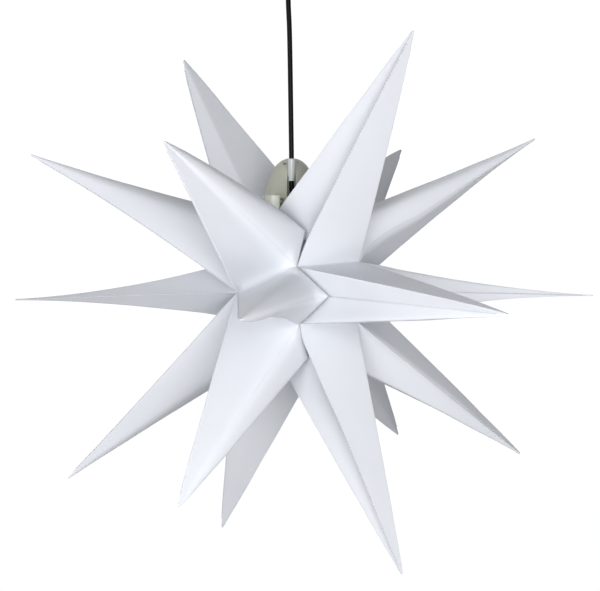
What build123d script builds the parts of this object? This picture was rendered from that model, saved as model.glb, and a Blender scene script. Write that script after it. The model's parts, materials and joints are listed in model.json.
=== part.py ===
from build123d import *
import math
import os

# ---------------------------------------------------------------- frame
# Millimetres, +Z up. The origin is the centre of the ceiling face of the ceiling rose.
# The viewer of the front view stands on the -Y side, +X is to the viewer's right.
STAR_X, STAR_Y, STAR_Z = 10.8, 14.0, -378.0     # centre of the star
DOME_X, DOME_Y = STAR_X - 7.5, STAR_Y + 8.0     # axis of the dome cap and of the film holder
HANG_X, HANG_Y = STAR_X - 7.4, 0.0              # axis of the cord sleeve on the front of the dome

# ---------------------------------------------------------------- driving dimensions
FILM = 0.55             # wall of the star's film
CORD_R = 2.5            # round two core cord
CORD_FIT = 0.06         # running clearance round the cord in the sleeve
BALL_Z = -54.0          # centre of the swivel bush in the cord gland

ROSE_R = 50.0           # ceiling rose
ROSE_H = 40.0
ROSE_WALL = 1.6
SCREW_SPACING = 60.0    # ceiling screw holes in the mounting plate
SCREW_HOLE_R = 2.6

SOCKET_TOP = STAR_Z + 60.0    # lampholder inside the star
SOCKET_R = 19.5
BULB_THREAD_R = 13.1          # screw cap 26 mm over the threads
BULB_R = 29.0
THREAD_PITCH = 3.62

os.makedirs("parts", exist_ok=True)
NODES = {}


def put(name, shape):
    NODES[name] = shape


def star(p):
    """A point given from the star's centre as right, towards the viewer, up."""
    return Vector(STAR_X + p[0], STAR_Y - p[1], STAR_Z + p[2])


def cyl(r, z0, z1, x=0.0, y=0.0):
    return Pos(x, y, (z0 + z1) / 2) * Cylinder(r, z1 - z0)


def tube(r_out, r_in, z0, z1, x=0.0, y=0.0):
    return cyl(r_out, z0, z1, x, y) - cyl(r_in, z0 - 1, z1 + 1, x, y)


def lathe(points, x=0.0, y=0.0):
    """Solid of revolution about the vertical through x, y; points are (radius, z)."""
    wire = Polyline(*[(r, 0, z) for r, z in points], close=True)
    return Pos(x, y, 0) * revolve(make_face(wire), Axis.Z)


def rod_between(a, b, r):
    a, b = Vector(*a), Vector(*b)
    return extrude(Plane(origin=a, z_dir=(b - a)) * Circle(r), (b - a).length)


# ================================================================ star film
# Corner points from the star's centre: right, towards the viewer, up.
# U, M, L are the tips of the upper, middle and lower ring of points, one column of three per
# direction: F front, FR front right, R right, BR back right, BL back left, L left.
# A are the inner corners where the seams of the neighbouring columns meet; next to the steep
# columns such a corner is spread to a short upright seam B, C, D. V and W are the inner corners of
# the upper and lower rim, T and S the ends of the ridges at the rim. At the closure, the front
# column's edge (B_F, C_F, D_F) lies over the front right column's edge (B_FR, C_FR, D_FR).
P = dict(
    U_F=(-113, 237, 145), M_F=(-47.5, 293, 0), L_F=(-103, 229, -165),
    U_FR=(103, 132, 249), M_FR=(176, 243, 0), L_FR=(94, 147, -244),
    U_R=(245, -66, 160), M_R=(299, -25, 0), L_R=(234, -77, -171),
    U_BR=(117, -230, 154), M_BR=(127, -272, 0), L_BR=(114, -218, -172),
    U_BL=(-123, -120, 246), M_BL=(-145, -251, 0), L_BL=(-84, -124, -260),
    U_L=(-258.3, 48, 139.9), M_L=(-276, 42, 0), L_L=(-227.3, 35, -176.3),
    A_FL=(-59, 41.3, 7.5), A_BRR=(56, -44, 7),
    B_RFR=(59.5, 24, 36.5), C_RFR=(58.5, 25.5, 8), D_RFR=(57, 24, -23),
    B_LBL=(-62, -24, 36), C_LBL=(-66.5, -25.5, 7), D_LBL=(-62, -24, -22),
    B_BLBR=(-2, -70, 34), C_BLBR=(-3, -73, 6), D_BLBR=(-2, -70, -22),
    B_F=(-2.0, 73, 33.5), C_F=(28.4, 82.5, 6), D_F=(0.5, 73, -21.5),
    B_FR=(-2.5, 67.5, 33.0), C_FR=(17.0, 66.0, 6), D_FR=(0.0, 67.5, -21.0),
    T_F=(-30, 40, 95), V_F=(6.7, 60, 67), V_FR=(7.0, 55.5, 57), T_FR=(-19, 34, 87.5), V_RFR=(36, 22, 68),
    T_R=(37, -17, 78), V_BRR=(46, -38, 67), T_BR=(15, -58, 92), V_BLBR=(-14, -62, 60), T_BL=(13, -50, 86),
    V_LBL=(-36, -28, 68), T_L=(-50, 5, 80), V_FL=(-47.5, 33, 67),
    S_F=(-30, 40, -82), W_F=(8.8, 60, -54.3), W_FR=(10.5, 55.5, -51), S_FR=(-12.5, 35, -74), W_RFR=(33, 22, -57),
    S_R=(37, -13, -66), W_BRR=(46, -38, -54), S_BR=(15, -56, -80), W_BLBR=(-14, -62, -47), S_BL=(13.3, -40, -82),
    W_LBL=(-33, -22, -57), S_L=(-50, 5, -68), W_FL=(-47.5, 33, -54),
)
COLUMNS = {"F": "front", "FR": "front_right", "R": "right", "BR": "back_right", "BL": "back_left", "L": "left"}
SIDES = {   # each column's two sides: upper, outer and lower corner of the seam, rim corners
    "F": (("A_FL", None, "A_FL", "V_FL", "W_FL"), ("B_F", "C_F", "D_F", "V_F", "W_F")),
    "FR": (("B_FR", "C_FR", "D_FR", "V_FR", "W_FR"), ("B_RFR", "C_RFR", "D_RFR", "V_RFR", "W_RFR")),
    "R": (("B_RFR", "C_RFR", "D_RFR", "V_RFR", "W_RFR"), ("A_BRR", None, "A_BRR", "V_BRR", "W_BRR")),
    "BR": (("A_BRR", None, "A_BRR", "V_BRR", "W_BRR"), ("B_BLBR", "C_BLBR", "D_BLBR", "V_BLBR", "W_BLBR")),
    "BL": (("B_BLBR", "C_BLBR", "D_BLBR", "V_BLBR", "W_BLBR"), ("B_LBL", "C_LBL", "D_LBL", "V_LBL", "W_LBL")),
    "L": (("B_LBL", "C_LBL", "D_LBL", "V_LBL", "W_LBL"), ("A_FL", None, "A_FL", "V_FL", "W_FL")),
}
PANELS = {}
for c, name in COLUMNS.items():
    (b1, c1, d1, v1, w1), (b2, c2, d2, v2, w2) = SIDES[c]
    U, M, L, T, S = (k + c for k in ("U_", "M_", "L_", "T_", "S_"))
    PANELS["top_panel_" + name] = [(U, b1, v1), (U, v1, T), (U, T, v2), (U, v2, b2)]
    PANELS["base_panel_" + name] = [(L, d1, w1), (L, w1, S), (L, S, w2), (L, w2, d2)]
    PANELS["upper_panel_" + name] = [(U, b1, b2), (b1, M, b2)] + [(b, cc, M) for b, cc in ((b1, c1), (b2, c2)) if cc]
    PANELS["lower_panel_" + name] = [(L, d1, d2), (d1, M, d2)] + [(d, cc, M) for d, cc in ((d1, c1), (d2, c2)) if cc]

# every facet is turned so that its normal points away from the spike's own inner line
SPIKE_CORE = {}
for c in COLUMNS:
    (b1, c1, d1, v1, w1), (b2, c2, d2, v2, w2) = SIDES[c]
    up = [Vector(*P[k]) for k in (b1, b2, "T_" + c)]
    dn = [Vector(*P[k]) for k in (d1, d2, "S_" + c)]
    SPIKE_CORE["U_" + c] = (up[0] + up[1] + up[2]) * (1 / 3)
    SPIKE_CORE["L_" + c] = (dn[0] + dn[1] + dn[2]) * (1 / 3)
    SPIKE_CORE["M_" + c] = (up[0] + up[1] + dn[0] + dn[1]) * 0.25


def outward(tri):
    a, b, d = (Vector(*P[k]) for k in tri)
    n = (b - a).cross(d - a)
    tip = next(k for k in tri if k in SPIKE_CORE)
    inner = (SPIKE_CORE[tip] + Vector(*P[tip])) * 0.5
    return tri if n.dot((a + b + d) * (1 / 3) - inner) > 0 else (tri[0], tri[2], tri[1])


PANELS = {n: [outward(t) for t in tris] for n, tris in PANELS.items()}


def solve3(m, v):
    det = lambda q: (q[0][0] * (q[1][1] * q[2][2] - q[1][2] * q[2][1])
                     - q[0][1] * (q[1][0] * q[2][2] - q[1][2] * q[2][0])
                     + q[0][2] * (q[1][0] * q[2][1] - q[1][1] * q[2][0]))
    d = det(m)
    out = []
    for i in range(3):
        out.append(det([[v[r] if k == i else m[r][k] for k in range(3)] for r in range(3)]) / d)
    return Vector(*out)


# inner surface: each corner moves in by the film's wall, shared by all the panels that meet there
NORMALS = {k: [] for k in P}
for tris in PANELS.values():
    for t in tris:
        a, b, d = (Vector(*P[k]) for k in t)
        n = (b - a).cross(d - a).normalized()
        for k, e, f in ((t[0], b - a, d - a), (t[1], d - b, a - b), (t[2], a - d, b - d)):
            NORMALS[k].append((n, 1.0))
INNER = {}
for k, ns in NORMALS.items():
    if not ns:
        continue
    m = [[0.02 if i == j else 0.0 for j in range(3)] for i in range(3)]
    v = [0.0, 0.0, 0.0]
    for n, w in ns:
        c3 = (n.X, n.Y, n.Z)
        for i in range(3):
            v[i] -= w * FILM * c3[i]
            for j in range(3):
                m[i][j] += w * c3[i] * c3[j]
    INNER[k] = Vector(*P[k]) + solve3(m, v)
ORDER = {k: i for i, k in enumerate(P)}


def film_panel(tris):
    """Closed solid between the outer facets and the inner facets of one cut piece of film."""
    out = {k: star(P[k]) for t in tris for k in t}
    inn = {k: star(tuple(INNER[k])) for t in tris for k in t}
    face = lambda *v: Face(Wire.make_polygon(list(v), close=True))
    faces = []
    edges = {}
    for t in tris:
        faces.append(face(*[out[k] for k in t]))
        faces.append(face(*[inn[k] for k in reversed(t)]))
        for i in range(3):
            e = (t[i], t[(i + 1) % 3])
            edges[frozenset(e)] = None if frozenset(e) in edges else e
    for e in edges.values():
        if e is None:
            continue
        a, b = sorted(e, key=ORDER.get)
        faces.append(face(out[a], out[b], inn[a]))
        faces.append(face(out[b], inn[b], inn[a]))
    return Solid(Shell(faces))


for name, tris in PANELS.items():
    put(name, film_panel(tris))
    thin = []
    for t in tris:
        a, b, d = (Vector(*P[k]) for k in t)
        n = (b - a).cross(d - a).normalized()
        thin.append(min(-n.dot(INNER[k] - Vector(*P[k])) for k in t))
    print(f"{name:28s} wall at corners from {min(thin):.2f} mm")

# ================================================================ cap, holder, sleeve
DZ = STAR_Z
DOME = [(0, 138.5), (4.2, 138.2), (9.6, 136.2), (13.6, 133.2), (16.6, 129.6), (20.2, 122.6), (23.4, 114.6),
        (26.0, 106.5), (26.7, 103.5), (27.3, 97.5), (27.5, 91.0)]
DOME_WALL = 1.8
DOME_LOW = 91.0


def dome_profile(shrink, z_low):
    pts = [(max(0.0, r - shrink * min(1.0, 0.35 + r / 20)), z - shrink * max(0.15, 1 - r / 27)) for r, z in DOME]
    pts[0] = (0, DOME[0][1] - shrink)
    return pts[:-1] + [(pts[-1][0], z_low)]


def dome_body(shrink, z_low):
    pts = dome_profile(shrink, z_low)
    top = Spline(*[(r, 0, DZ + z) for r, z in pts], tangents=((1, 0, 0), (0.02, 0, -1)))
    base = Line((pts[-1][0], 0, DZ + z_low), (0, 0, DZ + z_low))
    axis = Line((0, 0, DZ + z_low), (0, 0, DZ + pts[0][1]))
    return Pos(DOME_X, DOME_Y, 0) * revolve(make_face(Wire([top, base, axis])), Axis.Z)


dome_out = dome_body(0.0, DOME_LOW)
dome_in = dome_body(DOME_WALL, DOME_LOW - 1.5)
SLEEVE_TOP, SLEEVE_LOW = DZ + 137.4, DZ + 115.6
# upright groove in the front of the dome, in which the sleeve and the cord lie
groove = cyl(4.35, DZ + 88, DZ + 146, HANG_X, HANG_Y) + Pos(HANG_X, HANG_Y - 10, DZ + 117) * Box(8.7, 20, 58)
web = cyl(6.1, DZ + 103.5, DZ + 137, HANG_X, HANG_Y) + Pos(HANG_X, HANG_Y - 5, DZ + 120.25) * Box(12.2, 10, 33.5)
dome_cap = (dome_out - dome_in) + (dome_out & web)
dome_cap = dome_cap - groove
SCREW_AT = (DOME_X - 6.2, DOME_Y - 11.4)          # small clamp screw left of the sleeve
seat = DZ + 131.4
dome_cap = dome_cap + (cyl(2.8, DZ + 123, DZ + 136, *SCREW_AT) & dome_out)
dome_cap = dome_cap - groove
dome_cap = dome_cap - cyl(1.05, DZ + 120, DZ + 140, *SCREW_AT) - cyl(2.0, seat, DZ + 140, *SCREW_AT)
put("dome_cap", dome_cap)
put("dome_screw", cyl(1.9, seat + 0.02, seat + 1.5, *SCREW_AT) + cyl(1.0, seat - 7, seat + 0.1, *SCREW_AT))

sleeve = lathe([(CORD_R + CORD_FIT, SLEEVE_LOW), (3.05, SLEEVE_LOW), (3.05, SLEEVE_LOW + 1.2), (2.85, SLEEVE_LOW + 1.5),
                (2.85, SLEEVE_LOW + 2.1), (3.15, SLEEVE_LOW + 2.4), (3.15, SLEEVE_LOW + 3.2), (2.95, SLEEVE_LOW + 3.5),
                (2.95, SLEEVE_LOW + 4.1), (3.25, SLEEVE_LOW + 4.4), (3.85, SLEEVE_TOP - 0.6), (3.55, SLEEVE_TOP),
                (CORD_R + CORD_FIT, SLEEVE_TOP)], HANG_X, HANG_Y)
# the sleeve's foot: a key behind the tube that sits in the wall of the groove
key = Pos(HANG_X, HANG_Y + 4.0, DZ + 123.5) * Box(2.4, 2.6, 12)
key = key - cyl(3.0, DZ + 110, DZ + 138, HANG_X, HANG_Y)
sleeve = sleeve + key
dome_cap = NODES["dome_cap"] - Pos(HANG_X, HANG_Y + 4.05, DZ + 123.5) * Box(2.5, 2.7, 12.1)
put("dome_cap", dome_cap)
put("cord_sleeve", sleeve)

# holder ring inside the dome's skirt, with four arms that end in plates against the film's corners
RING_TOP = DZ + 103.5
ring = tube(24.8, 22.0, RING_TOP - 11, RING_TOP, DOME_X, DOME_Y)
for ang in (0, 72, 144, 216, 288):
    if ang != 0:
        ring = ring + Pos(DOME_X, DOME_Y, RING_TOP - 3) * Rot(0, 0, ang - 90) * Pos(22.2, 0, 0) * Box(4.4, 6, 6)
gap = Pos(DOME_X, DOME_Y - 20, RING_TOP - 6) * Box(22, 26, 16)
holder = ring - gap
HOLDER_SCREWS = []
for ang in (72, 144, 216, 288):
    a = math.radians(ang - 90)
    HOLDER_SCREWS.append((DOME_X + 21.6 * math.cos(a), DOME_Y + 21.6 * math.sin(a)))
# each arm ends in an upright plate behind the film's rim; a tongue reaches under the ridge and
# carries a stud that buttons through the film
CORNERS = (("T_L", "U_L", 37.4, 11, "top_panel_left"), ("T_F", "U_F", 49.5, 15, "top_panel_front"),
           ("T_R", "U_R", 41.0, 13, "top_panel_right"), ("T_BR", "U_BR", 51.5, 15, "top_panel_back_right"))
STUDS = []
for corner, tip, plate_r, plate_w, panel in CORNERS:
    t, u = star(P[corner]), star(P[tip])
    a = math.atan2(t.Y - DOME_Y, t.X - DOME_X)
    ridge = u - t
    flat = math.hypot(ridge.X, ridge.Y)
    sx, sy = t.X + 5.5 * ridge.X / flat, t.Y + 5.5 * ridge.Y / flat
    sz = t.Z + 5.5 * ridge.Z / flat
    px, py = DOME_X + plate_r * math.cos(a), DOME_Y + plate_r * math.sin(a)
    z_low, z_top = t.Z - 8.0, max(RING_TOP - 5.0, t.Z + 7.0)
    arm = Pos((plate_r + 24.0) / 2, 0, RING_TOP - 8.0) * Box(plate_r - 24.0, 7, 3)
    if corner == "T_F":
        # the front arm ends in a round upright block with a small lug on its left
        plate = Pos(plate_r + 1.5 - plate_w / 2, 0, (z_low + z_top) / 2) * Cylinder(plate_w / 2, z_top - z_low)
        plate = fillet(plate.edges(), 1.6)
        plate = plate + Pos(plate_r - 4.5, -plate_w / 2 - 0.6, z_top - 1.9) * Box(3.4, 3.4, 2.2)
    else:
        plate = Pos(plate_r, 0, (z_low + z_top) / 2) * Box(3, plate_w, z_top - z_low)
        plate = fillet(plate.edges().filter_by(Axis.X), 2.0)
    piece = Pos(DOME_X, DOME_Y, 0) * Rot(0, 0, math.degrees(a)) * (arm + plate)
    reach = math.hypot(sx - px, sy - py)
    tongue = Pos(reach / 2, 0, 0) * Box(reach, 4, 1.6) + Pos(reach, 0, 0) * Cylinder(2.2, 1.6)
    tongue = Pos(px, py, sz - 6.1) * Rot(0, 0, math.degrees(math.atan2(sy - py, sx - px))) * tongue
    holder = holder + piece + tongue
    STUDS.append((sx, sy, sz, panel))
for x, y in HOLDER_SCREWS:
    holder = holder - cyl(1.25, RING_TOP - 7, RING_TOP + 1, x, y) - cyl(2.4, RING_TOP - 12, RING_TOP - 6, x, y)
put("film_holder", holder)
# the dome has a boss above each lug of the ring, into which a screw goes from below, and its skirt
# is notched where the arms pass
dome_cap = NODES["dome_cap"]
for x, y in HOLDER_SCREWS:
    dome_cap = dome_cap + (cyl(2.7, RING_TOP, RING_TOP + 13, x, y) & dome_out)
    dome_cap = dome_cap - cyl(1.24, RING_TOP - 1, RING_TOP + 8, x, y)
for corner, tip, plate_r, plate_w, panel in CORNERS:
    t = star(P[corner])
    a = math.degrees(math.atan2(t.Y - DOME_Y, t.X - DOME_X))
    dome_cap = dome_cap - Pos(DOME_X, DOME_Y, 0) * Rot(0, 0, a) * Pos(27, 0, DZ + 94) * Box(8, 8.2, 8.4)
put("dome_cap", dome_cap.solids()[0])
screws = []
for x, y in HOLDER_SCREWS:
    screws.append(cyl(1.2, RING_TOP - 6.1, RING_TOP + 7.5, x, y) + cyl(2.2, RING_TOP - 7.5, RING_TOP - 6.05, x, y))
put("holder_screws", Compound(children=[Solid(s.solids()[0].wrapped) for s in screws]))

# studs that stand on the tongues, through the film, with a flat head outside
studs = []
for sx, sy, sz, panel in STUDS:
    holder = holder - cyl(1.25, sz - 8, sz - 4, sx, sy)
    NODES[panel] = (NODES[panel] - cyl(1.3, sz - 4, sz + 4, sx, sy)).solids()[0]
    stud = cyl(1.2, sz - 6.8, sz + 1.0, sx, sy) + cyl(1.7, sz + 0.9, sz + 1.6, sx, sy)
    studs.append(stud.solids()[0])
put("film_holder", holder.solids()[0])
put("film_studs", Compound(children=studs))

# ================================================================ lampholder and bulb
SX, SY = STAR_X, STAR_Y
st = SOCKET_TOP
cap = lathe([(4.2, st), (7.0, st), (8.0, st - 6), (13, st - 8), (17.5, st - 12), (SOCKET_R, st - 18), (SOCKET_R, st - 24),
             (SOCKET_R - 1.8, st - 24), (SOCKET_R - 1.8, st - 18.6), (16, st - 13.6), (12.3, st - 9.8), (CORD_R + CORD_FIT, st - 8),
             (CORD_R + CORD_FIT, st - 1.5)], SX, SY)
cap = cap - rod_between((SX + 1.0, SY, st - 3.2), (SX + 12, SY, st - 3.2), 1.3)
put("socket_cap", cap)
put("socket_grub_screw", rod_between((SX + CORD_R + 0.05, SY, st - 3.2), (SX + 8.6, SY, st - 3.2), 1.25))
put("socket_skirt", lathe([(SOCKET_R - 2.0, st - 19.2), (SOCKET_R - 2.0, st - 24.3), (SOCKET_R, st - 24.3), (SOCKET_R, st - 40),
                           (SOCKET_R + 1.5, st - 41), (SOCKET_R + 1.5, st - 44), (18.0, st - 60), (15.2, st - 60),
                           (15.2, st - 45), (15.2, st - 24.5), (15.2, st - 19.2)], SX, SY))
insert = cyl(15.0, st - 30, st - 19.4, SX, SY) - cyl(4.0, st - 31, st - 26, SX, SY)
for x in (-8.5, 8.5):
    insert = insert - Pos(SX + x, SY, st - 20.6) * Box(5.2, 6.4, 3.0)
    insert = insert - cyl(1.0, st - 27.4, st - 20.6, SX + x, SY)
insert = insert - Pos(SX, SY, st - 29.2) * Box(20, 4.4, 2.2)
put("socket_insert", insert)
put("socket_screws", Compound(children=[(cyl(0.95, st - 27.2, st - 21.9, SX + x, SY) + cyl(2.2, st - 22.0, st - 20.4, SX + x, SY)).solids()[0]
                                        for x in (-8.5, 8.5)]))
put("socket_thread_shell", tube(14.6, 14.1, st - 56, st - 30.2, SX, SY) + tube(14.6, 11.4, st - 30.7, st - 30.2, SX, SY))
put("socket_contact", (Pos(SX, SY, st - 30.0) * Box(17, 4.0, 0.5)
                       + cyl(3.0, st - 32.4, st - 29.9, SX, SY)).solids()[0])

# bulb: opal bulb with a screw cap, hanging cap up
bt = st - 33.0          # top of the bulb's foot contact
put("bulb_contact", cyl(3.2, bt - 1.6, bt, SX, SY) + cyl(1.4, bt - 5.0, bt - 1.5, SX, SY))
put("bulb_insulator", lathe([(1.46, bt - 2.0), (4.6, bt - 2.0), (9.2, bt - 4.6), (9.2, bt - 6.4), (1.46, bt - 6.4)], SX, SY))
cap_pts = [(9.3, bt - 4.7), (BULB_THREAD_R - 1.0, bt - 6.6)]
z = bt - 7.4
while z - THREAD_PITCH > bt - 26:
    cap_pts += [(BULB_THREAD_R, z), (BULB_THREAD_R, z - 0.9), (BULB_THREAD_R - 1.0, z - 1.8), (BULB_THREAD_R - 1.0, z - 2.7)]
    z -= THREAD_PITCH
cap_pts += [(BULB_THREAD_R - 0.4, bt - 26.5), (BULB_THREAD_R - 1.6, bt - 26.5), (BULB_THREAD_R - 1.6, bt - 7.0), (9.3, bt - 6.6)]
put("bulb_screw_cap", lathe(cap_pts, SX, SY))
put("bulb_housing", lathe([(11.3, bt - 12), (11.3, bt - 26.7), (12.9, bt - 26.7), (14.2, bt - 31), (19.0, bt - 42), (25.5, bt - 53),
                           (23.9, bt - 53), (17.4, bt - 42.6), (10.0, bt - 30), (9.6, bt - 12)], SX, SY))
put("bulb_board", cyl(23.3, bt - 54.6, bt - 53.1, SX, SY))
glow = make_face(Wire([Spline((25.5, 0, bt - 53.2), (BULB_R, 0, bt - 66), (21.5, 0, bt - 84), (0, 0, bt - 92.5),
                              tangents=((0.5, 0, -1), (-1, 0, 0))),
                       Line((0, 0, bt - 92.5), (0, 0, bt - 91.3)),
                       Spline((0, 0, bt - 91.3), (20.6, 0, bt - 83.2), (BULB_R - 1.2, 0, bt - 66), (24.2, 0, bt - 53.2),
                              tangents=((1, 0, 0), (-0.5, 0, 1))),
                       Line((24.2, 0, bt - 53.2), (25.5, 0, bt - 53.2))]))
put("bulb_diffuser", Pos(SX, SY, 0) * revolve(glow, Axis.Z))

# ================================================================ cord
# route of the hanging cord from the gland down to the sleeve, and of the lead inside the star
DROP = [(0.0, 0.0, BALL_Z), (0.05, 0.0, -75.0), (0.45, 0.0, -94.0), (1.65, 0.0, -115.0),
        (3.38, 0.0, DZ + 142.0), (HANG_X, 0.0, DZ + 127.3)]
LEAD = [(HANG_X, HANG_Y, DZ + 127.0), (HANG_X, HANG_Y, DZ + 104.0), (STAR_X, STAR_Y, DZ + 80.0),
        (STAR_X, STAR_Y, st - 9.0)]


def cord(points, name):
    radii = []
    for i in range(1, len(points) - 1):
        a, b, c = (Vector(*points[j]) for j in (i - 1, i, i + 1))
        turn = math.radians((b - a).get_angle(c - b))
        radii.append(0.45 * min((b - a).length, (c - b).length) / math.tan(turn / 2))
    path = FilletPolyline(*points, radius=radii)
    run = sum((Vector(*points[i + 1]) - Vector(*points[i])).length for i in range(len(points) - 1))
    solid = sweep(Plane(origin=path @ 0, z_dir=path % 0) * Circle(CORD_R), path=path)
    want = math.pi * CORD_R ** 2 * path.length
    print(f"{name}: radii {[round(r, 1) for r in radii]} mm, runs {run:.1f} mm, line {path.length:.1f} mm, "
          f"volume {solid.volume:.0f} of {want:.0f} mm3")
    return solid


put("cord_drop", cord(DROP, "cord_drop"))
put("inner_lead", cord(LEAD, "inner_lead"))

# ================================================================ ceiling rose
gz = -ROSE_H                    # lower face of the rose
canopy = lathe([(ROSE_R, -0.4), (ROSE_R, gz + 14), (ROSE_R - 4, gz + 6.5), (ROSE_R - 11, gz + 1.6), (ROSE_R - 17, gz), (5.2, gz),
                (5.2, gz + ROSE_WALL), (ROSE_R - 17.4, gz + ROSE_WALL), (ROSE_R - 11.9, gz + 3.0), (ROSE_R - 5.3, gz + 7.4),
                (ROSE_R - ROSE_WALL, gz + 14.2), (ROSE_R - ROSE_WALL, -0.4)])
for s in (-1, 1):
    canopy = canopy - rod_between((s * 40, 0, -9.0), (s * 60, 0, -9.0), 2.1)
put("ceiling_rose", canopy)
EAR = ROSE_R - ROSE_WALL - 0.4
plate = Pos(0, 0, -1.0) * Box(2 * EAR - 3.0, 18, 2.0)
for s in (-1, 1):
    ear = Pos(s * (EAR - 1.0), 0, -7.5) * Box(2.0, 18, 15)
    # the ears follow the round wall
    plate = plate + (ear & cyl(EAR, -20, 1))
plate = plate & cyl(EAR, -20, 0)
for s in (-1, 1):
    plate = plate - rod_between((s * 36, 0, -9.0), (s * 52, 0, -9.0), 1.75)
    plate = plate - cyl(SCREW_HOLE_R, -3, 1, s * SCREW_SPACING / 2, 0)
put("mounting_plate", plate.solids()[0])
put("rose_screws", Compound(children=[(rod_between((s * 42.0, 0, -9.0), (s * (ROSE_R + 0.2), 0, -9.0), 1.7)
                                       + rod_between((s * (ROSE_R + 0.1), 0, -9.0), (s * (ROSE_R + 2.3), 0, -9.0), 3.6)).solids()[0]
                                      for s in (-1, 1)]))
block = Pos(0, 0, -8.0) * Box(24, 14, 11.6)
block = fillet(block.edges().filter_by(Axis.Z), 1.5)
for x in (-6, 6):
    block = block - cyl(2.2, -14.5, -5.5, x, 0)
    block = block - rod_between((x, -8, -9.6), (x, 8, -9.6), 1.5)
put("terminal_block", block)
put("terminal_screws", Compound(children=[cyl(1.9, -13.2, -11.3, x, 0).solids()[0] for x in (-6, 6)]))

# cord gland: hexagon flange under the rose, round seat for the swivel bush
BALL_R = 7.0
SEAT_R = BALL_R + 0.3
barrel = lathe([(2.8, -27.0), (5.0, -27.0), (5.0, gz - 0.2), (10.5, gz - 0.2), (10.5, -50.0), (9.6, -60.5), (8.6, -62.0),
                (6.7, -62.0), (5.3, -58.8), (5.3, -57.0), (SEAT_R, -57.0), (SEAT_R, -50.5), (6.2, -49.0), (2.8, -47.6)])
ball_space = Pos(0, 0, BALL_Z) * Sphere(SEAT_R)
barrel = barrel - (ball_space - cyl(20, BALL_Z - 20, BALL_Z - 4.8))
put("cord_gland", barrel)
nut = extrude(Pos(0, 0, gz + ROSE_WALL + 0.05) * RegularPolygon(8.5, 6), 5.0) - cyl(5.05, gz, gz + 10)
put("gland_nut", nut)
bush = (Pos(0, 0, BALL_Z) * Sphere(BALL_R)) & cyl(8, BALL_Z - 3.5, BALL_Z + 3.5)
bush = bush - lathe([(0, BALL_Z - 4), (4.15, BALL_Z - 4), (2.95, BALL_Z), (4.15, BALL_Z + 4), (0, BALL_Z + 4)])
put("gland_bush", bush)
put("cord_tail", cyl(CORD_R, BALL_Z + 1.4, -19.0))
put("gland_screw", rod_between((2.55, 0, -44.5), (10.3, 0, -44.5), 1.4))
NODES["cord_gland"] = NODES["cord_gland"] - rod_between((2.0, 0, -44.5), (12, 0, -44.5), 1.45)

# ================================================================ write
for name, shape in NODES.items():
    solids = shape.solids()
    out = solids[0] if len(solids) == 1 else Compound(children=list(solids))
    export_step(out, os.path.join("parts", name + ".step"))
print(len(NODES), "nodes")
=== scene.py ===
import bpy, bmesh, math, json, random
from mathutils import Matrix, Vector, noise

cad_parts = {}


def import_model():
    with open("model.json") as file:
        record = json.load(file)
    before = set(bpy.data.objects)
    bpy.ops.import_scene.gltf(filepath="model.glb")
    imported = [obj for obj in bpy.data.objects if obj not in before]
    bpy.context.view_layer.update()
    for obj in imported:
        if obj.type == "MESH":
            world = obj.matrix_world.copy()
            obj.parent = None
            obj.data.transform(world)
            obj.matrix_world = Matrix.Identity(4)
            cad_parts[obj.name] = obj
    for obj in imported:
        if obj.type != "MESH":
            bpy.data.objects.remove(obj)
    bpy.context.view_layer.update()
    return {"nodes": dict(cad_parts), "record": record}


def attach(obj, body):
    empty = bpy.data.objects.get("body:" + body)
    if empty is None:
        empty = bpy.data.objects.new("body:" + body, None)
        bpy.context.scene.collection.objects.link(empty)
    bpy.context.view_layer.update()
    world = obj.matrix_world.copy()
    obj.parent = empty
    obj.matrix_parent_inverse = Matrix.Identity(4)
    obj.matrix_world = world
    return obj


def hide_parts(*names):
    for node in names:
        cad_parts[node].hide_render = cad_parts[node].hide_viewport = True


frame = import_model()
nodes = frame["nodes"]
scene = bpy.context.scene
random.seed(18)
noise.seed_set(18)

# ------------------------------------------------------------------ frame helpers
SX, SY, SZ = 10.8, 14.0, -378.0          # star centre in the row frame, mm


def world(p):
    """Right, towards the viewer, up from the star's centre in mm, to the row frame in metres."""
    return Vector(((SX + p[0]) / 1000, (SY - p[1]) / 1000, (SZ + p[2]) / 1000))


def lerp(a, b, w):
    return a + (b - a) * w


def smooth(x, a=0.0, b=1.0):
    x = max(0.0, min(1.0, (x - a) / (b - a)))
    return x * x * (3 - 2 * x)


# ------------------------------------------------------------------ camera
centre = world((0, 0, 0))
ELEV = math.radians(3.6)
cam_data = bpy.data.cameras.new("camera")
cam_data.lens = 90.0
cam_data.sensor_width = 36.0
cam_data.sensor_fit = "HORIZONTAL"
cam_data.shift_x = 1.0 / 600
cam_data.shift_y = 1.5 / 600
cam_data.clip_start = 0.02
cam = bpy.data.objects.new("camera", cam_data)
scene.collection.objects.link(cam)
cam.location = centre + Vector((0, -1.5 * math.cos(ELEV), 1.5 * math.sin(ELEV)))
cam.rotation_euler = (math.radians(90) - ELEV, 0, 0)
scene.camera = cam

# ------------------------------------------------------------------ materials


def new_mat(name):
    m = bpy.data.materials.new(name)
    m.use_nodes = True
    nt = m.node_tree
    nt.nodes.clear()
    out = nt.nodes.new("ShaderNodeOutputMaterial")
    bs = nt.nodes.new("ShaderNodeBsdfPrincipled")
    nt.links.new(bs.outputs["BSDF"], out.inputs["Surface"])
    return m, nt, bs, out


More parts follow.
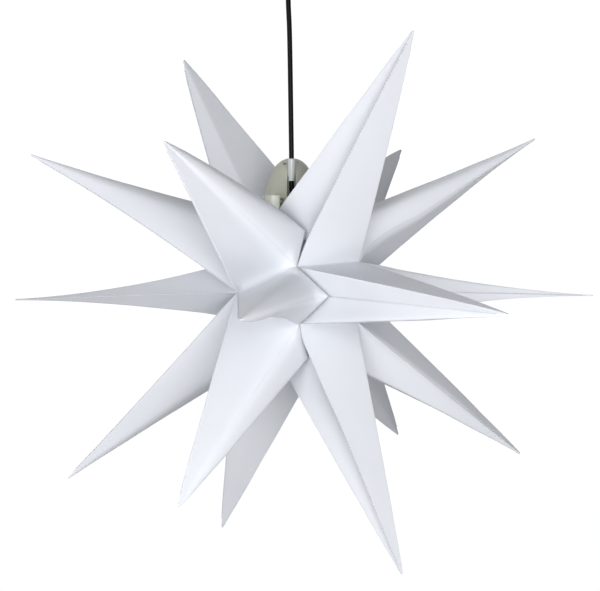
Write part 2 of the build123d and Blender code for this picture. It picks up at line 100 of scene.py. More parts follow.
def moulded(name, color, rough=0.42, spec=0.5, metallic=0.0, tone=0.06, scale=60.0, bump=0.03, bump_scale=900.0, coat=0.0):
    """Plain part: colour and roughness vary a little, with a fine surface grain."""
    m, nt, bs, out = new_mat(name)
    tex = nt.nodes.new("ShaderNodeTexCoord")
    n1 = nt.nodes.new("ShaderNodeTexNoise")
    n1.inputs["Scale"].default_value = scale
    n1.inputs["Detail"].default_value = 4.0
    nt.links.new(tex.outputs["Object"], n1.inputs["Vector"])
    ramp = nt.nodes.new("ShaderNodeValToRGB")
    c = color
    ramp.color_ramp.elements[0].position = 0.3
    ramp.color_ramp.elements[1].position = 0.7
    ramp.color_ramp.elements[0].color = (c[0] * (1 - tone), c[1] * (1 - tone), c[2] * (1 - tone), 1)
    ramp.color_ramp.elements[1].color = (min(1, c[0] * (1 + tone)), min(1, c[1] * (1 + tone)), min(1, c[2] * (1 + tone)), 1)
    nt.links.new(n1.outputs["Fac"], ramp.inputs["Fac"])
    nt.links.new(ramp.outputs["Color"], bs.inputs["Base Color"])
    mr = nt.nodes.new("ShaderNodeMapRange")
    mr.inputs["To Min"].default_value = rough * 0.85
    mr.inputs["To Max"].default_value = min(1.0, rough * 1.15)
    nt.links.new(n1.outputs["Fac"], mr.inputs["Value"])
    nt.links.new(mr.outputs["Result"], bs.inputs["Roughness"])
    bs.inputs["Metallic"].default_value = metallic
    bs.inputs["Specular IOR Level"].default_value = spec
    bs.inputs["Coat Weight"].default_value = coat
    n2 = nt.nodes.new("ShaderNodeTexNoise")
    n2.inputs["Scale"].default_value = bump_scale
    n2.inputs["Detail"].default_value = 3.0
    nt.links.new(tex.outputs["Object"], n2.inputs["Vector"])
    bp = nt.nodes.new("ShaderNodeBump")
    bp.inputs["Strength"].default_value = bump
    bp.inputs["Distance"].default_value = 0.0006
    nt.links.new(n2.outputs["Fac"], bp.inputs["Height"])
    nt.links.new(bp.outputs["Normal"], bs.inputs["Normal"])
    return m


def film_material(name, color=(0.885, 0.904, 0.944), glow=0.18):
    """Thin white plastic film: satin, lets a little light through, with faint creases."""
    m, nt, bs, out = new_mat(name)
    tex = nt.nodes.new("ShaderNodeTexCoord")
    n1 = nt.nodes.new("ShaderNodeTexNoise")
    n1.inputs["Scale"].default_value = 14.0
    n1.inputs["Detail"].default_value = 3.0
    nt.links.new(tex.outputs["Object"], n1.inputs["Vector"])
    ramp = nt.nodes.new("ShaderNodeValToRGB")
    ramp.color_ramp.elements[0].position = 0.35
    ramp.color_ramp.elements[1].position = 0.65
    ramp.color_ramp.elements[0].color = (color[0] * 0.985, color[1] * 0.985, color[2] * 0.99, 1)
    ramp.color_ramp.elements[1].color = (color[0], color[1], color[2], 1)
    nt.links.new(n1.outputs["Fac"], ramp.inputs["Fac"])
    nt.links.new(ramp.outputs["Color"], bs.inputs["Base Color"])
    bs.inputs["Roughness"].default_value = 0.58
    bs.inputs["Specular IOR Level"].default_value = 0.32
    # soft creases and a fine grain
    n2 = nt.nodes.new("ShaderNodeTexNoise")
    n2.inputs["Scale"].default_value = 38.0
    n2.inputs["Detail"].default_value = 2.0
    n2.inputs["Distortion"].default_value = 0.6
    nt.links.new(tex.outputs["Object"], n2.inputs["Vector"])
    n3 = nt.nodes.new("ShaderNodeTexNoise")
    n3.inputs["Scale"].default_value = 260.0
    n3.inputs["Detail"].default_value = 2.0
    nt.links.new(tex.outputs["Object"], n3.inputs["Vector"])
    b1 = nt.nodes.new("ShaderNodeBump")
    b1.inputs["Strength"].default_value = 0.08
    b1.inputs["Distance"].default_value = 0.004
    nt.links.new(n2.outputs["Fac"], b1.inputs["Height"])
    b2 = nt.nodes.new("ShaderNodeBump")
    b2.inputs["Strength"].default_value = 0.04
    b2.inputs["Distance"].default_value = 0.0004
    nt.links.new(n3.outputs["Fac"], b2.inputs["Height"])
    nt.links.new(b1.outputs["Normal"], b2.inputs["Normal"])
    nt.links.new(b2.outputs["Normal"], bs.inputs["Normal"])
    tr = nt.nodes.new("ShaderNodeBsdfTranslucent")
    nt.links.new(ramp.outputs["Color"], tr.inputs["Color"])
    nt.links.new(b2.outputs["Normal"], tr.inputs["Normal"])
    mix = nt.nodes.new("ShaderNodeMixShader")
    mix.inputs["Fac"].default_value = glow
    nt.links.new(bs.outputs["BSDF"], mix.inputs[1])
    nt.links.new(tr.outputs["BSDF"], mix.inputs[2])
    nt.links.new(mix.outputs["Shader"], out.inputs["Surface"])
    return m


FILM = film_material("film")
# painted shade: the thread is a mid grey so each stitch reads as the small grey dot of shade where the film is
# pinched along a seam
STITCH_THREAD_SHADE = moulded("stitch_thread_painted_shade", (0.60, 0.61, 0.64), rough=0.7, spec=0.2, scale=900, tone=0.05, bump=0.2, bump_scale=4000)
CAP = moulded("cap_plastic", (0.47, 0.475, 0.395), rough=0.34, spec=0.5, tone=0.05, scale=45, bump=0.05)
SLEEVE = moulded("sleeve_plastic", (0.51, 0.54, 0.53), rough=0.28, spec=0.5, tone=0.03)
# painted light: the holder is a lighter copy of the cap plastic, standing in for light from the left on its shaded
# side
HOLDER_LIT = moulded("holder_plastic_lit", (0.62, 0.63, 0.55), rough=0.34, spec=0.5, tone=0.05, scale=45, bump=0.05)
DARK_SCREW = moulded("dark_screw", (0.05, 0.045, 0.04), rough=0.45, tone=0.1, scale=200)
STEEL = moulded("screw_steel", (0.46, 0.45, 0.43), rough=0.35, metallic=1.0, tone=0.12, scale=200)
BLACK = moulded("cord_black", (0.003, 0.003, 0.0035), rough=0.42, spec=0.12, tone=0.2, scale=300, bump=0.1, bump_scale=2500)
ROSE = moulded("rose_plastic", (0.82, 0.82, 0.83), rough=0.4, tone=0.03)
PLATE = moulded("plate_steel", (0.6, 0.6, 0.61), rough=0.4, metallic=1.0, tone=0.08, scale=120)
TERMINAL = moulded("terminal_plastic", (0.78, 0.78, 0.75), rough=0.5)
SOCKET = moulded("socket_plastic", (0.80, 0.80, 0.80), rough=0.36, tone=0.03)
CERAMIC = moulded("ceramic_white", (0.85, 0.84, 0.81), rough=0.2, coat=0.3)
BRASS = moulded("brass_part", (0.72, 0.55, 0.25), rough=0.3, metallic=1.0, tone=0.1, scale=150)
INSUL = moulded("insulator_black", (0.03, 0.03, 0.035), rough=0.2)
NICKEL = moulded("nickel", (0.72, 0.72, 0.73), rough=0.25, metallic=1.0, tone=0.06, scale=120)
BULB_W = moulded("bulb_white", (0.86, 0.86, 0.85), rough=0.3, tone=0.02)
BOARD = moulded("board", (0.8, 0.81, 0.82), rough=0.4, metallic=0.2)
OPAL = moulded("opal", (0.92, 0.91, 0.88), rough=0.35, tone=0.015)
BY_SLOT = {"film": FILM, "cap_plastic": CAP, "sleeve_plastic": SLEEVE, "screw_steel": STEEL, "cord_black": BLACK, "rose_plastic": ROSE,
           "plate_steel": PLATE, "terminal_plastic": TERMINAL, "socket_plastic": SOCKET, "ceramic_white": CERAMIC, "brass_part": BRASS,
           "insulator_black": INSUL, "nickel": NICKEL, "bulb_white": BULB_W, "board": BOARD, "opal": OPAL}
for part in frame["record"]["subparts"]:
    o = nodes.get(part["node"])
    if o is not None:
        o.data.materials.clear()
        o.data.materials.append(BY_SLOT[part["material_slot"]])

# the holder takes the lighter painted-light copy of the cap plastic; the dome screw takes a dark material
for name, mat in (("film_holder", HOLDER_LIT), ("dome_screw", DARK_SCREW)):
    nodes[name].data.materials.clear()
    nodes[name].data.materials.append(mat)

# ------------------------------------------------------------------ cords
ROUTE = [(0.0, 0.0, -54.0), (0.05, 0.0, -75.0), (0.45, 0.0, -94.0), (1.65, 0.0, -115.0), (3.28, 0.0, -229.0),
         (3.38, 0.0, -236.0), (3.40, 0.0, -250.7)]


def cord_object(name, pts, r, mat, closed_ends=True):
    cu = bpy.data.curves.new(name, "CURVE")
    cu.dimensions = "3D"
    sp = cu.splines.new("NURBS")
    sp.points.add(len(pts) - 1)
    for q, p in zip(sp.points, pts):
        q.co = (p[0] / 1000, p[1] / 1000, p[2] / 1000, 1)
    sp.order_u = 3
    sp.use_endpoint_u = True
    sp.resolution_u = 12
    cu.bevel_depth = r / 1000
    cu.bevel_resolution = 8
    cu.use_fill_caps = closed_ends
    cu.materials.append(mat)
    o = bpy.data.objects.new(name, cu)
    scene.collection.objects.link(o)
    return o


drop = cord_object("cord_hanging", ROUTE, 2.5, BLACK)
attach(drop, "cord")
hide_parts("cord_drop")

# ------------------------------------------------------------------ star film
P = dict(
    U_F=(-113, 237, 145), M_F=(-47.5, 293, 0), L_F=(-103, 229, -165),
    U_FR=(103, 132, 249), M_FR=(176, 243, 0), L_FR=(94, 147, -244),
    U_R=(245, -66, 160), M_R=(299, -25, 0), L_R=(234, -77, -171),
    U_BR=(117, -230, 154), M_BR=(127, -272, 0), L_BR=(114, -218, -172),
    U_BL=(-123, -120, 246), M_BL=(-145, -251, 0), L_BL=(-84, -124, -260),
    U_L=(-258.3, 48, 139.9), M_L=(-276, 42, 0), L_L=(-227.3, 35, -176.3),
    A_FL=(-59, 41.3, 7.5), A_BRR=(56, -44, 7),
    B_RFR=(59.5, 24, 36.5), C_RFR=(58.5, 25.5, 8), D_RFR=(57, 24, -23),
    B_LBL=(-62, -24, 36), C_LBL=(-66.5, -25.5, 7), D_LBL=(-62, -24, -22),
    B_BLBR=(-2, -70, 34), C_BLBR=(-3, -73, 6), D_BLBR=(-2, -70, -22),
    B_F=(-2.0, 73, 33.5), C_F=(28.4, 82.5, 6), D_F=(0.5, 73, -21.5),
    B_FR=(-2.5, 67.5, 33.0), C_FR=(17.0, 66.0, 6), D_FR=(0.0, 67.5, -21.0),
    T_F=(-30, 40, 95), V_F=(6.7, 60, 67), V_FR=(7.0, 55.5, 57), T_FR=(-19, 34, 87.5), V_RFR=(36, 22, 68),
    T_R=(37, -17, 78), V_BRR=(46, -38, 67), T_BR=(15, -58, 92), V_BLBR=(-14, -62, 60), T_BL=(13, -50, 86),
    V_LBL=(-36, -28, 68), T_L=(-50, 5, 80), V_FL=(-47.5, 33, 67),
    S_F=(-30, 40, -82), W_F=(8.8, 60, -54.3), W_FR=(10.5, 55.5, -51), S_FR=(-12.5, 35, -74), W_RFR=(33, 22, -57),
    S_R=(37, -13, -66), W_BRR=(46, -38, -54), S_BR=(15, -56, -80), W_BLBR=(-14, -62, -47), S_BL=(13.3, -40, -82),
    W_LBL=(-33, -22, -57), S_L=(-50, 5, -68), W_FL=(-47.5, 33, -54),
)
P = {k: Vector(v) for k, v in P.items()}
COLUMNS = {"F": "front", "FR": "front_right", "R": "right", "BR": "back_right", "BL": "back_left", "L": "left"}
SIDES = {
    "F": (("A_FL", None, "A_FL", "V_FL", "W_FL"), ("B_F", "C_F", "D_F", "V_F", "W_F")),
    "FR": (("B_FR", "C_FR", "D_FR", "V_FR", "W_FR"), ("B_RFR", "C_RFR", "D_RFR", "V_RFR", "W_RFR")),
    "R": (("B_RFR", "C_RFR", "D_RFR", "V_RFR", "W_RFR"), ("A_BRR", None, "A_BRR", "V_BRR", "W_BRR")),
    "BR": (("A_BRR", None, "A_BRR", "V_BRR", "W_BRR"), ("B_BLBR", "C_BLBR", "D_BLBR", "V_BLBR", "W_BLBR")),
    "BL": (("B_BLBR", "C_BLBR", "D_BLBR", "V_BLBR", "W_BLBR"), ("B_LBL", "C_LBL", "D_LBL", "V_LBL", "W_LBL")),
    "L": (("B_LBL", "C_LBL", "D_LBL", "V_LBL", "W_LBL"), ("A_FL", None, "A_FL", "V_FL", "W_FL")),
}
CORE = {}
for c, ((b1, c1, d1, v1, w1), (b2, c2, d2, v2, w2)) in SIDES.items():
    CORE["U_" + c] = (P[b1] + P[b2] + P["T_" + c]) / 3
    CORE["L_" + c] = (P[d1] + P[d2] + P["S_" + c]) / 3
    CORE["M_" + c] = (P[b1] + P[b2] + P[d1] + P[d2]) / 4
# how sharply each edge of a spike narrows towards its tip: 1 is straight, more is a needle
NEEDLE = {
    ("U_L", "T_L"): 1.10, ("U_L", "A_FL"): 1.44, ("U_F", "A_FL"): 1.05, ("U_F", "T_F"): 0.92, ("U_F", "B_F"): 0.8,
    ("U_FR", "T_FR"): 0.96, ("U_FR", "B_FR"): 0.8, ("U_FR", "B_RFR"): 0.92, ("U_FR", "V_RFR"): 1.06,
    ("U_R", "T_R"): 1.08, ("U_R", "B_RFR"): 1.4, ("U_R", "A_BRR"): 1.4,
    ("U_BL", "B_LBL"): 0.92, ("U_BL", "V_LBL"): 0.85, ("U_BL", "T_BL"): 0.96,
    ("U_BR", "T_BR"): 0.88, ("U_BR", "A_BRR"): 1.05,
    ("M_R", "B_RFR"): 1.55, ("M_R", "D_RFR"): 1.7, ("M_R", "C_RFR"): 1.6, ("M_R", "A_BRR"): 1.6,
    ("M_L", "B_LBL"): 1.8, ("M_L", "D_LBL"): 1.4, ("M_L", "C_LBL"): 1.6, ("M_L", "A_FL"): 1.6,
    ("M_FR", "B_RFR"): 0.91, ("M_FR", "B_FR"): 0.8, ("M_FR", "C_FR"): 1.0, ("M_FR", "D_FR"): 1.0, ("M_FR", "D_RFR"): 1.06, ("M_FR", "C_RFR"): 1.0,
    ("L_L", "A_FL"): 1.12, ("L_L", "S_L"): 1.05, ("L_F", "A_FL"): 0.96, ("L_F", "W_F"): 0.92, ("L_F", "D_F"): 1.0,
    ("L_FR", "S_FR"): 0.95, ("L_FR", "D_RFR"): 0.95, ("L_FR", "D_FR"): 0.8, ("L_R", "A_BRR"): 0.88, ("L_R", "W_RFR"): 1.12,
    ("L_BL", "D_LBL"): 1.0, ("L_BL", "W_LBL"): 1.2, ("L_BL", "S_BL"): 0.97,
}
DEFAULT = {"U_L": 1.3, "U_R": 1.4, "M_R": 1.6, "M_L": 1.6, "M_BL": 1.4, "M_BR": 1.4, "L_L": 1.2, "L_R": 1.2}
TIP_R = 1.1        # the closed end of a spike, mm


def needle(spike, key):
    return NEEDLE.get((spike, key), DEFAULT.get(spike, 1.0))


# small sideways bends of single edges: (s, right, front, up) in mm
BOW = {
    ("M_F", "D_F"): [(0, 0, 0, 0), (0.15, 0, 0, -1.1), (0.3, 0, 0, 1.4), (0.46, 0, 0, 5.0), (0.75, 0, 0, 4.5), (1, 0, 0, 0)],
    ("U_R", "B_RFR"): [(0, 0, 0, 0), (0.6, -0.5, 0, 0.5), (0.85, -3.5, 0, 4.5), (0.95, -2.0, 0, 3.0), (1, 0, 0, 0)],
    ("U_F", "A_FL"): [(0, 0, 0, 0), (0.7, -1.0, 0, 0), (0.93, -2.6, 0, 1.0), (1, 0, 0, 0)],
    ("U_FR", "T_FR"): [(0, 0, 0, 0), (0.7, -1.0, 0, 0), (0.95, -1.2, 0, 0), (1, -0.6, 0, 0)],
    ("U_FR", "B_FR"): [(0, 0, 0, 0), (0.6, -2.0, 0, 0), (0.85, -2.5, 0, 0), (1, 0, 0, 0)],
    ("L_FR", "D_FR"): [(0, 0, 0, 0), (0.35, 0.9, 0, 0), (0.55, 0.4, 0, 0), (0.75, -1.6, 0, 0), (0.92, -2.6, 0, 0), (1, 0, 0, 0)],
}


def bend(spike, key, s):
    t = BOW.get((spike, key))
    if not t:
        return Vector((0, 0, 0))
    for a, b in zip(t, t[1:]):
        if s <= b[0]:
            f = smooth(s, a[0], b[0])
            return Vector([lerp(a[i], b[i], f) for i in (1, 2, 3)])
    return Vector((0, 0, 0))


def ray(spike, key, s):
    """Point at s (0 tip, 1 base) on the edge of the spike that ends at the corner key."""
    tip, core, base = P[spike], CORE[spike], P[key]
    d = base - core
    at = s * (core - tip).length
    end = math.sqrt(max(0.0, TIP_R ** 2 - (TIP_R - min(at, TIP_R)) ** 2))
    return tip + (core - tip) * s + d * (s ** needle(spike, key)) + d.normalized() * end * (1 - s) ** 1.5 + bend(spike, key, s)


# corners round each spike, in order, and how far each one is rounded off, in mm
RING = {}
for c, ((b1, c1, d1, v1, w1), (b2, c2, d2, v2, w2)) in SIDES.items():
    RING["U_" + c] = [b1, v1, "T_" + c, v2, b2]
    RING["L_" + c] = [d1, w1, "S_" + c, w2, d2]
    RING["M_" + c] = ([b1, c1, d1] if c1 else [b1]) + ([d2, c2, b2] if c2 else [b2])
ROUND = {
    ("U_F", "B_F"): 34, ("U_F", "A_FL"): 0.5, ("U_F", "T_F"): 3.0, ("U_F", "V_F"): 14,
    ("U_FR", "B_RFR"): 1.2, ("U_FR", "V_FR"): 16,
    ("U_R", "B_RFR"): 20, ("U_R", "T_R"): 7, ("U_R", "A_BRR"): 5, ("U_R", "V_RFR"): 20,
    ("U_L", "T_L"): 10, ("U_BL", "V_LBL"): 2, ("U_BL", "T_BL"): 2,
    ("M_F", "B_F"): 45, ("M_F", "C_F"): 24, ("M_F", "D_F"): 4, ("M_F", "A_FL"): 1,
    ("M_FR", "B_FR"): 1.0, ("M_FR", "D_FR"): 6, ("M_FR", "B_RFR"): 4, ("M_FR", "D_RFR"): 6,
    ("M_L", "B_LBL"): 12, ("M_L", "D_LBL"): 12, ("M_R", "B_RFR"): 12, ("M_R", "D_RFR"): 12,
    ("L_F", "D_F"): 30, ("L_F", "W_F"): 4, ("L_F", "S_F"): 6,
    ("L_L", "S_L"): 9, ("L_R", "D_RFR"): 8, ("L_R", "W_RFR"): 3, ("L_R", "A_BRR"): 9,
    ("L_FR", "D_RFR"): 1.2, ("L_FR", "S_FR"): 3,
    ("L_BL", "W_LBL"): 5,
}


PULLED_IN = {("U_F", "B_F"), ("M_F", "B_F"), ("M_F", "C_F"), ("L_F", "D_F"), ("U_R", "B_RFR")}


def roundness(spike, key):
    r = ROUND.get((spike, key))
    if r is not None:
        return r
    if key[0] in "VW":
        return 12.0
    if key[0] in "TS":
        return 3.0
    if spike[0] == "M" and key[0] in "BD":
        return 5.0
    return 0.6


NS = 52            # steps along a spike
S = [(i / NS) ** 1.5 * 0.93 for i in range(NS + 1)] + [0.945, 0.957, 0.968, 0.977, 0.985, 0.992, 1.0]


def section(spike, keys, s, steps):
    """Points across the skin at s, from the corner keys[0] to keys[-1], corners rounded off."""
    ring = RING[spike]
    n = len(ring)
    q = {k: ray(spike, k, s) for k in ring}
    fade = 1 - smooth(s, 0.86, 1.0)
    push = {}
    for i, k in enumerate(ring):
        if (spike, k) in PULLED_IN:
            continue
        a, b = q[ring[i - 1]] - q[k], q[ring[(i + 1) % n]] - q[k]
        r = min(roundness(spike, k) * fade, 0.46 * a.length, 0.46 * b.length)
        if r > 0.01:
            push[k] = -(a.normalized() + b.normalized()) * (0.25 * r)
    for k, v in push.items():
        q[k] = q[k] + v
    out = []
    for k0, k1, cnt in zip(keys, keys[1:], steps):
        side = q[k1] - q[k0]
        ln = max(side.length, 1e-6)
        i0, i1 = ring.index(k0), ring.index(k1)
        fwd = 1 if ring[(i0 + 1) % n] == k1 else -1
        p0, p2 = q[ring[(i0 - fwd) % n]], q[ring[(i1 + fwd) % n]]
        r0 = min(roundness(spike, k0) * fade, 0.46 * ln, 0.46 * (p0 - q[k0]).length)
        r1 = min(roundness(spike, k1) * fade, 0.46 * ln, 0.46 * (p2 - q[k1]).length)
        for j in range(cnt + (k1 == keys[-1])):
            f = j / cnt
            # closer together near the corners
            f = 0.5 - 0.5 * math.cos(math.pi * f)
            at = f * ln
            if at < r0 and r0 > 1e-6:
                t = 0.5 + 0.5 * at / r0
                a = q[k0] + (p0 - q[k0]).normalized() * r0
                b = q[k0] + side * (r0 / ln)
                pt = a * (1 - t) ** 2 + q[k0] * (2 * t * (1 - t)) + b * t * t
            elif ln - at < r1 and r1 > 1e-6:
                t = 0.5 + 0.5 * (ln - at) / r1
                a = q[k1] + (p2 - q[k1]).normalized() * r1
                b = q[k1] - side * (r1 / ln)
                pt = a * (1 - t) ** 2 + q[k1] * (2 * t * (1 - t)) + b * t * t
            else:
                pt = q[k0] + side * f
            out.append(pt)
    return out


class Sheet:
    """One cut piece of film, built up from strips of skin."""

    def __init__(self):
        self.v, self.f = [], []

    def grid(self, rows):
        base, w = len(self.v), len(rows[0])
        for r in rows:
            self.v += [p.copy() for p in r]
        for i in range(len(rows) - 1):
            for j in range(w - 1):
                a = base + i * w + j
                self.f.append([a, a + w, a + w + 1, a + 1])


def strip(spike, keys, steps, amount=0.6):
    rows = [section(spike, keys, s, steps) for s in S]
    n = len(rows[0])
    for i, r in enumerate(rows):
        for j in range(1, n - 1):
            wob = noise.noise_vector(r[j] * 0.021 + Vector((hash_of(spike), 0, 0)))
            r[j] = r[j] + wob * amount * math.sin(math.pi * S[i]) * math.sin(math.pi * j / (n - 1))
    return rows


def hash_of(t):
    return sum(ord(ch) * (i + 3) for i, ch in enumerate(t)) % 97


# folds between a spike and the next one in the same sheet: how far they are rounded, in mm
FOLD = {("F", "upper"): 22, ("F", "lower"): 5, ("FR", "upper"): 4, ("FR", "lower"): 5}


def soft_fold(one, two, radius, hard_first, hard_last):
    """Round off the fold where the last rows of the two strips meet."""
    w = len(one[-1])
    for j in range(w):
        f = j / (w - 1)
        amt = (smooth(f, 0.0, 0.25) if hard_first else 1.0) * (1 - smooth(f, 0.75, 1.0) if hard_last else 1.0)
        if amt <= 0:
            continue
        c = one[-1][j].copy()

        def reach(rows):
            far, last = 0.0, c
            for i in range(len(rows) - 2, -1, -1):
                step = (rows[i][j] - last).length
                if far + step >= radius:
                    return rows[i + 1][j].lerp(rows[i][j], (radius - far) / step)
                far, last = far + step, rows[i][j]
            return rows[0][j]

        a, b = reach(one), reach(two)
        for rows, p, q in ((one, a, b), (two, b, a)):
            old = [r[j].copy() for r in rows]
            for i in range(len(rows) - 1, -1, -1):
                d = (old[i] - c).length
                if d >= radius:
                    break
                t = 0.5 + 0.5 * d / radius
                new = q * (1 - t) ** 2 + c * (2 * t * (1 - t)) + p * t * t
                rows[i][j] = old[i].lerp(new, amt)


def flange_dir(spike, key, s):
    """Which way the sewn edges of two sheets stand off the star at that seam."""
    along = (ray(spike, key, min(1.0, s + 0.01)) - ray(spike, key, max(0.0, s - 0.01))).normalized()
    out = P[key] - CORE[spike]
    out = out - along * out.dot(along)
    return out.normalized()


# seams with a visible sewn edge; the others are turned in or soft
NO_FLANGE = {("U_F", "B_F"), ("U_R", "B_RFR"), ("U_FR", "B_RFR"), ("L_FR", "D_RFR"), ("L_F", "D_F"), ("M_F", "C_F"), ("M_FR", "C_RFR"),
             ("L_R", "A_BRR"), ("U_R", "A_BRR")}
FLANGE = 1.25


def seam_line(spike, key):
    return [(s, section_end(spike, key, s)) for s in S]


def section_end(spike, key, s):
    """The seam's own point, after rounding."""
    ring = RING[spike]
    nxt = ring[(ring.index(key) + 1) % len(ring)]
    return section(spike, (key, nxt), s, (2,))[0]


film_objs = {}
for c, cname in COLUMNS.items():
    (b1, c1, d1, v1, w1), (b2, c2, d2, v2, w2) = SIDES[c]
    U, M, L, T, SS = ("U_" + c, "M_" + c, "L_" + c, "T_" + c, "S_" + c)
    for kind in ("top", "upper", "lower", "base"):
        sh = Sheet()
        flanges = []
        if kind in ("top", "base"):
            spike, keys = (U, (b1, v1, T, v2, b2)) if kind == "top" else (L, (d1, w1, SS, w2, d2))
            sh.grid(strip(spike, keys, (9, 10, 10, 9)))
            flanges = [(spike, keys[0]), (spike, keys[-1])]
        else:
            far = U if kind == "upper" else L
            e1, e2 = (b1, b2) if kind == "upper" else (d1, d2)
            one = strip(far, (e1, e2), (20,))
            two = strip(M, (e1, e2), (20,))
            for j in range(len(one[-1])):
                m = (one[-1][j] + two[-1][j]) / 2
                one[-1][j], two[-1][j] = m.copy(), m.copy()
            soft_fold(one, two, FOLD.get((c, kind), 6), True, True)
            sh.grid(one)
            sh.grid(two)
            if c1:
                sh.grid(strip(M, (e1, c1), (8,)))
            if c2:
                sh.grid(strip(M, (e2, c2), (8,)))
            if kind == "upper":
                flanges = [(M, c1 or e1), (M, c2 or e2)]
        for spike, key in flanges:
            if (spike, key) in NO_FLANGE:
                continue
            rows = []
            for s, q in seam_line(spike, key):
                h = FLANGE * smooth(s, 0.02, 0.12) * (1 - smooth(s, 0.94, 1.0))
                o = flange_dir(spike, key, s)
                rows.append([q, q + o * h * 0.5, q + o * h])
            sh.grid(rows)
        me = bpy.data.meshes.new(f"film_{kind}_{cname}")
        me.from_pydata([world(p) for p in sh.v], [], sh.f)
        bm = bmesh.new()
        bm.from_mesh(me)
        bmesh.ops.remove_doubles(bm, verts=bm.verts, dist=0.00003)
        bmesh.ops.dissolve_degenerate(bm, edges=bm.edges, dist=0.00001)
        bmesh.ops.recalc_face_normals(bm, faces=bm.faces)
        score = sum((f.calc_center_median() - centre).dot(f.normal) * f.calc_area() for f in bm.faces)
        if score < 0:
            bmesh.ops.reverse_faces(bm, faces=bm.faces)
        bm.to_mesh(me)
        bm.free()
        me.validate()
        for poly in me.polygons:
            poly.use_smooth = True
        me.materials.append(FILM)
        ob = bpy.data.objects.new(f"film_{kind}_{cname}", me)
        scene.collection.objects.link(ob)
        me.set_sharp_from_angle(angle=math.radians(32))
        sol = ob.modifiers.new("thickness", "SOLIDIFY")
        sol.thickness = 0.00035
        sol.offset = -1.0
        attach(ob, "star")
        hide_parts(f"{kind}_panel_{cname}")
        film_objs[(kind, c)] = ob

# ------------------------------------------------------------------ stitches
PITCH = 3.1
NO_STITCH = NO_FLANGE


def stitch_mesh(name, seams):
    verts, faces = [], []
    for spike, key in seams:
        if (spike, key) in NO_STITCH:
            continue
        pts = [section_end(spike, key, s) for s in [i / 300 for i in range(301)]]
        acc = 0.0
        nxt = 14.0
        for i in range(1, len(pts)):
            step = (pts[i] - pts[i - 1]).length
            while acc + step >= nxt:
                f = (nxt - acc) / step
                q = lerp(pts[i - 1], pts[i], f)
                s = (i - 1 + f) / 300
                if s > 0.955:
                    nxt += PITCH
                    continue
                along = (pts[i] - pts[i - 1]).normalized()
                o = flange_dir(spike, key, s)
                side = along.cross(o).normalized()
                for sg in (-1, 1):
                    c0 = q + o * (FLANGE * 0.5) + side * sg * 0.30
                    a = along * 0.8
                    ring = [o * 0.34, side * sg * 0.26, -o * 0.34, -side * sg * 0.10]
                    base = len(verts)
                    for t, k in ((-1, 0.35), (-0.6, 1.0), (0.6, 1.0), (1, 0.35)):
                        for r in ring:
                            verts.append(world(c0 + a * t + r * k))
                    for t in range(3):
                        for r in range(4):
                            r2 = (r + 1) % 4
                            faces.append([base + t * 4 + r, base + t * 4 + r2, base + (t + 1) * 4 + r2, base + (t + 1) * 4 + r])
                    faces.append([base + 3, base + 2, base + 1, base])
                    faces.append([base + 12, base + 13, base + 14, base + 15])
                nxt += PITCH
            acc += step
    me = bpy.data.meshes.new(name)
    me.from_pydata(verts, [], faces)
    me.validate()
    bm = bmesh.new()
    bm.from_mesh(me)
    bmesh.ops.recalc_face_normals(bm, faces=bm.faces)
    bm.to_mesh(me)
    bm.free()
    for poly in me.polygons:
        poly.use_smooth = True
    # the stitches carry the grey thread, which is painted shade for the pinched film between stitches
    me.materials.append(STITCH_THREAD_SHADE)
    ob = bpy.data.objects.new(name, me)
    scene.collection.objects.link(ob)
    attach(ob, "star")
    return ob


for c, cname in COLUMNS.items():
    (b1, c1, d1, v1, w1), (b2, c2, d2, v2, w2) = SIDES[c]
    seams = [("U_" + c, b1), ("U_" + c, b2), ("L_" + c, d1), ("L_" + c, d2),
             ("M_" + c, c1 or b1), ("M_" + c, c2 or b2)]
    stitch_mesh("stitches_" + cname, seams)

# ------------------------------------------------------------------ studio
scene.view_settings.view_transform = "Standard"
scene.view_settings.look = "None"
w = bpy.data.worlds.new("studio")
w.use_nodes = True
wn = w.node_tree
bg = wn.nodes["Background"]
wtex = wn.nodes.new("ShaderNodeTexCoord")
wsep = wn.nodes.new("ShaderNodeSeparateXYZ")
wn.links.new(wtex.outputs["Generated"], wsep.inputs["Vector"])
wramp = wn.nodes.new("ShaderNodeValToRGB")
wmap = wn.nodes.new("ShaderNodeMapRange")
wmap.inputs["From Min"].default_value = -1.0
wmap.inputs["From Max"].default_value = 1.0
wn.links.new(wsep.outputs["Y"], wmap.inputs["Value"])
wn.links.new(wmap.outputs["Result"], wramp.inputs["Fac"])
els = wramp.color_ramp.elements
els[0].position, els[0].color = 0.0, (0.147, 0.15, 0.156, 1)
els[1].position, els[1].color = 1.0, (1.06, 1.06, 1.07, 1)
mid_el = els.new(0.5)
mid_el.color = (0.147, 0.15, 0.156, 1)
wside = wn.nodes.new("ShaderNodeValToRGB")
wmap2 = wn.nodes.new("ShaderNodeMapRange")
wmap2.inputs["From Min"].default_value = -1.0
wmap2.inputs["From Max"].default_value = 1.0
wn.links.new(wsep.outputs["X"], wmap2.inputs["Value"])
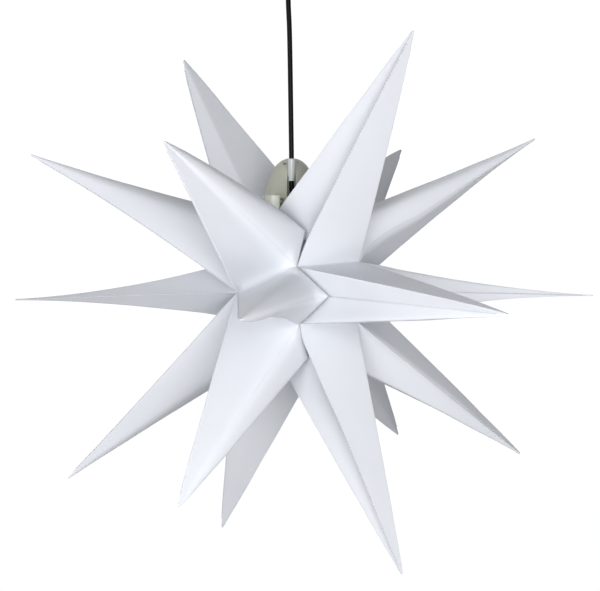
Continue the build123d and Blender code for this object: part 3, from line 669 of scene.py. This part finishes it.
wn.links.new(wmap2.outputs["Result"], wside.inputs["Fac"])
es = wside.color_ramp.elements
es[0].position, es[0].color = 0.0, (1.0, 1.0, 1.0, 1)
es[1].position, es[1].color = 1.0, (0.80, 0.80, 0.80, 1)
e_mid = es.new(0.62)
e_mid.color = (1.0, 1.0, 1.0, 1)
wmul = wn.nodes.new("ShaderNodeVectorMath")
wmul.operation = "MULTIPLY"
wn.links.new(wramp.outputs["Color"], wmul.inputs[0])
wn.links.new(wside.outputs["Color"], wmul.inputs[1])
wn.links.new(wmul.outputs["Vector"], bg.inputs["Color"])
bg.inputs["Strength"].default_value = 1.0
scene.world = w
w.cycles.sampling_method = "NONE"


def plane(name, size, loc, rot, mat):
    me = bpy.data.meshes.new(name)
    a, b = size[0] / 2, size[1] / 2
    me.from_pydata([(-a, -b, 0), (a, -b, 0), (a, b, 0), (-a, b, 0)], [], [[0, 1, 2, 3]])
    me.materials.append(mat)
    o = bpy.data.objects.new(name, me)
    scene.collection.objects.link(o)
    o.location = loc
    o.rotation_euler = rot
    return o


floor_mat = moulded("floor_pale", (0.72, 0.72, 0.72), rough=0.8, spec=0.2, tone=0.02, scale=3)
plane("floor", (4, 4), Vector((0, 0, -1.75)), (0, 0, 0), floor_mat)


def area(name, loc, target, size, power, color=(1, 1, 1)):
    li = bpy.data.lights.new(name, "AREA")
    li.shape = "RECTANGLE"
    li.size, li.size_y = size
    li.energy = power
    li.color = color
    o = bpy.data.objects.new(name, li)
    scene.collection.objects.link(o)
    o.location = loc
    d = (Vector(target) - Vector(loc)).normalized()
    o.rotation_euler = d.to_track_quat("-Z", "Y").to_euler()
    return o


area("soft_front", centre + Vector((0.1, -0.9, 0.0)), centre, (0.50, 0.60), 5.0)
area("soft_right", centre + Vector((0.42, -0.76, 0.0)), centre, (0.40, 0.62), 1.5)
area("side_left", centre + Vector((-1.6, -0.1, 0.3)), centre, (0.9, 0.9), 6.8)
area("by_camera", centre + Vector((-0.62, -1.9, 0.1)), centre, (0.5, 0.7), 10.6)
